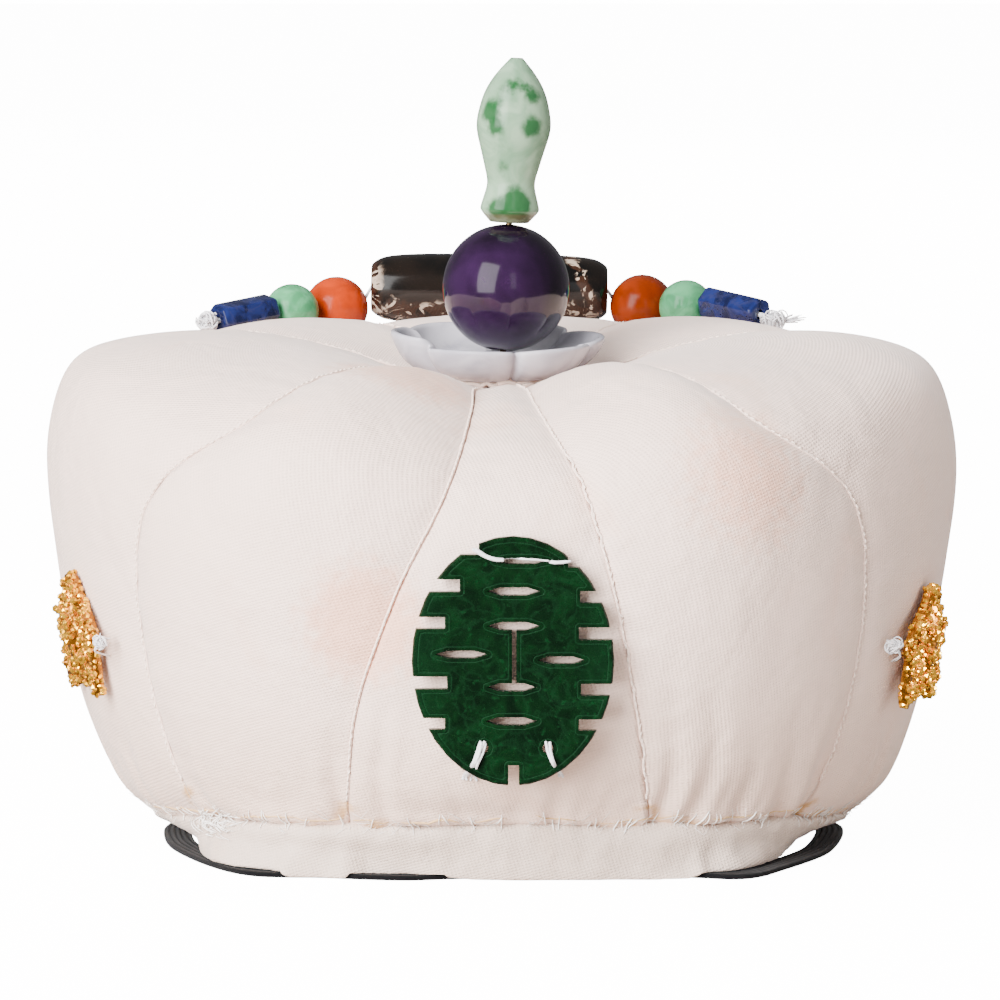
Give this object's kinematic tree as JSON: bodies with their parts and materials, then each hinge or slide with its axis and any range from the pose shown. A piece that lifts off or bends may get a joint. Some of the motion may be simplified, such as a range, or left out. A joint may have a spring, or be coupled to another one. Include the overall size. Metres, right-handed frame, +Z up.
{
  "type": "bridal coronet",
  "caption": "Small padded silk bridal coronet with a bound rim, stacked stone finial, bead string, pierced jade plaque, gilt side pieces and an elastic strap.",
  "frame": {"origin": "on the surface that the rim rests on, under the middle of the coronet's bounding box", "axes": "+Z up, -Y towards the front plaque, +X towards the wearer's left"},
  "size_m": [0.1504, 0.1437, 0.1289],
  "materials": {
    "silk": "ivory silk twill, soft sheen",
    "satin": "white satin, soft sheen",
    "dish": "pale polished nephrite",
    "amethyst": "polished dark amethyst",
    "bud": "polished pale green jade",
    "pin": "plain metal",
    "coral": "polished coral",
    "green_stone": "polished green stone",
    "agate": "polished etched agate",
    "lapis": "polished lapis",
    "thread": "white sewing thread",
    "plaque": "polished green jade",
    "gilt": "granulated gilt",
    "elastic": "ribbed elastic"
  },
  "bodies": {
    "root": {"front_panel": "silk", "front_corner_panel_left": "silk", "side_panel_left": "silk", "rear_corner_panel_left": "silk", "rear_panel": "silk", "rear_corner_panel_right": "silk", "side_panel_right": "silk", "front_corner_panel_right": "silk", "bound_rim": "satin", "petal_dish": "dish", "amethyst_bead": "amethyst", "jade_bud": "bud", "finial_pin": "pin", "lapis_tube_right": "lapis", "lapis_tube_left": "lapis", "green_bead_right": "green_stone", "green_bead_left": "green_stone", "coral_bead_right": "coral", "coral_bead_left": "coral", "agate_barrel": "agate", "bead_thread": "thread", "jade_plaque": "plaque", "gilt_butterfly_left": "gilt", "gilt_butterfly_right": "gilt", "elastic_strap": "elastic"}
  },
  "joints": []
}
